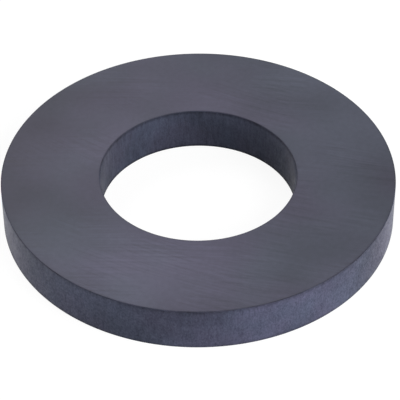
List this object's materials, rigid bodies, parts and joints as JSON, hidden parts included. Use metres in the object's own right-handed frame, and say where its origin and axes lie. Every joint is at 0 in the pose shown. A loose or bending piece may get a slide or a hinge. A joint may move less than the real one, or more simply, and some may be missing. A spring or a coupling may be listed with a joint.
{
  "type": "ferrite ring magnet",
  "caption": "Flat round ceramic magnet ring with a plain through bore, ground flat pole faces and finely broken rims, magnetised through its thickness.",
  "frame": {"origin": "centre of the bore in the lower pole face, which the ring rests on", "axes": "+Z along the bore axis, from the lower pole face to the upper one; X and Y run across the ring, which is the same all the way round"},
  "size_m": [0.1, 0.1, 0.012],
  "materials": {
    "ferrite": "satin"
  },
  "bodies": {
    "root": {"magnet_ring": "ferrite"}
  },
  "joints": []
}
